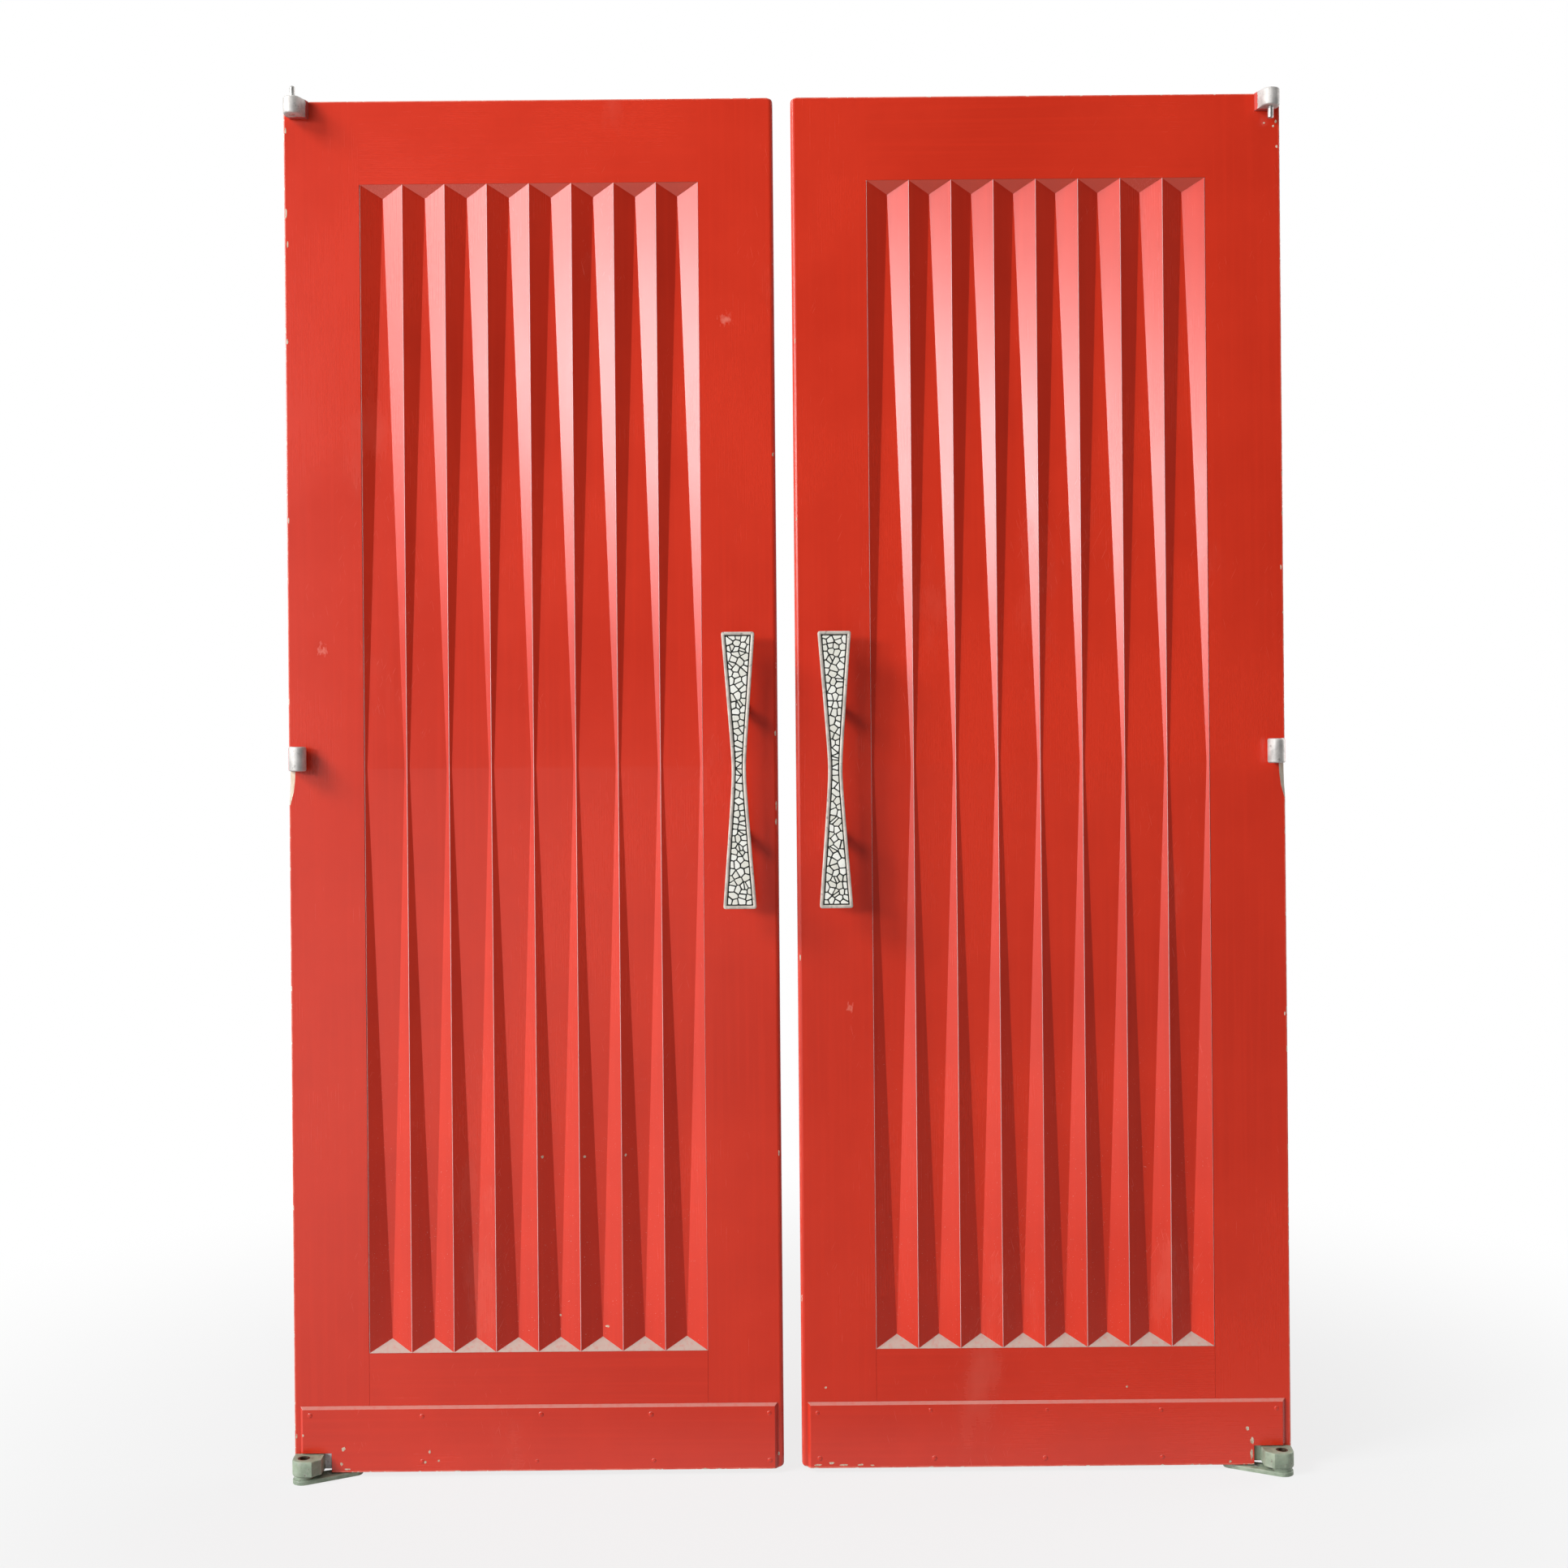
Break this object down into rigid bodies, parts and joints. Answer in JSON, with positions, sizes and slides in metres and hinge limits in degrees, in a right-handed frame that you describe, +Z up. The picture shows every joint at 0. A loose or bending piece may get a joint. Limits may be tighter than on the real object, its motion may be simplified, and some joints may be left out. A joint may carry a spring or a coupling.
{
  "type": "pair of pivot doors",
  "caption": "Pair of red-painted mid-century swing doors with vertical V flutes, waisted mosaic pulls, low kick boards and offset pivots on the outer edges.",
  "frame": {"origin": "on the floor under the middle of the pair, half way through its depth", "axes": "+Z up, +X to the viewer's right, the fluted fronts face -Y"},
  "size_m": [1.552, 0.0968, 2.16],
  "materials": {
    "red_paint": "brushed red-orange semi-gloss enamel on wood",
    "cast_aluminium": "satin cast aluminium",
    "grey_green_paint": "worn grey-green paint on cast iron",
    "bronze": "dull bronze",
    "steel": "worn steel",
    "mosaic": "pale stone chips in dark grout"
  },
  "bodies": {
    "floor_pivots": {"left_floor_plate": "grey_green_paint", "left_floor_spindle": "steel", "right_floor_plate": "grey_green_paint", "right_floor_spindle": "steel"},
    "left_leaf": {"left_hinge_stile": "red_paint", "left_meeting_stile": "red_paint", "left_top_rail": "red_paint", "left_bottom_rail": "red_paint", "left_flute_stave_1": "red_paint", "left_flute_stave_2": "red_paint", "left_flute_stave_3": "red_paint", "left_flute_stave_4": "red_paint", "left_flute_stave_5": "red_paint", "left_flute_stave_6": "red_paint", "left_flute_stave_7": "red_paint", "left_flute_stave_8": "red_paint", "left_back_panel": "red_paint", "left_kick_board": "red_paint", "left_top_pivot_arm": "cast_aluminium", "left_mid_pivot": "cast_aluminium", "left_mid_pivot_bush": "bronze", "left_bottom_pivot_arm": "grey_green_paint", "left_bottom_pivot_bush": "bronze", "left_pull_tray": "cast_aluminium", "left_pull_mosaic": "mosaic", "left_pull_post_upper": "cast_aluminium", "left_pull_post_lower": "cast_aluminium", "left_pull_bolt_upper": "steel", "left_pull_bolt_lower": "steel"},
    "left_top_pin": {"left_top_pivot_pin": "steel"},
    "right_leaf": {"right_hinge_stile": "red_paint", "right_meeting_stile": "red_paint", "right_top_rail": "red_paint", "right_bottom_rail": "red_paint", "right_flute_stave_1": "red_paint", "right_flute_stave_2": "red_paint", "right_flute_stave_3": "red_paint", "right_flute_stave_4": "red_paint", "right_flute_stave_5": "red_paint", "right_flute_stave_6": "red_paint", "right_flute_stave_7": "red_paint", "right_flute_stave_8": "red_paint", "right_back_panel": "red_paint", "right_kick_board": "red_paint", "right_top_pivot_arm": "cast_aluminium", "right_mid_pivot": "cast_aluminium", "right_mid_pivot_bush": "bronze", "right_bottom_pivot_arm": "grey_green_paint", "right_bottom_pivot_bush": "bronze", "right_pull_tray": "cast_aluminium", "right_pull_mosaic": "mosaic", "right_pull_post_upper": "cast_aluminium", "right_pull_post_lower": "cast_aluminium", "right_pull_bolt_upper": "steel", "right_pull_bolt_lower": "steel"},
    "right_top_pin": {"right_top_pivot_pin": "steel"}
  },
  "joints": [
    {"name": "left_swing", "type": "hinge", "parent": "floor_pivots", "child": "left_leaf", "pos_m": [-0.757, -0.0194, 0.012], "axis": [0, 0, -1], "range_deg": [0, 110]},
    {"name": "right_swing", "type": "hinge", "parent": "floor_pivots", "child": "right_leaf", "pos_m": [0.757, -0.0194, 0.012], "axis": [0, 0, 1], "range_deg": [0, 110]},
    {"name": "left_pin_slide", "type": "slide", "parent": "left_leaf", "child": "left_top_pin", "axis": [0, 0, 1], "range_m": [-0.018, 0]},
    {"name": "right_pin_slide", "type": "slide", "parent": "right_leaf", "child": "right_top_pin", "axis": [0, 0, 1], "range_m": [0, 0.018]}
  ]
}
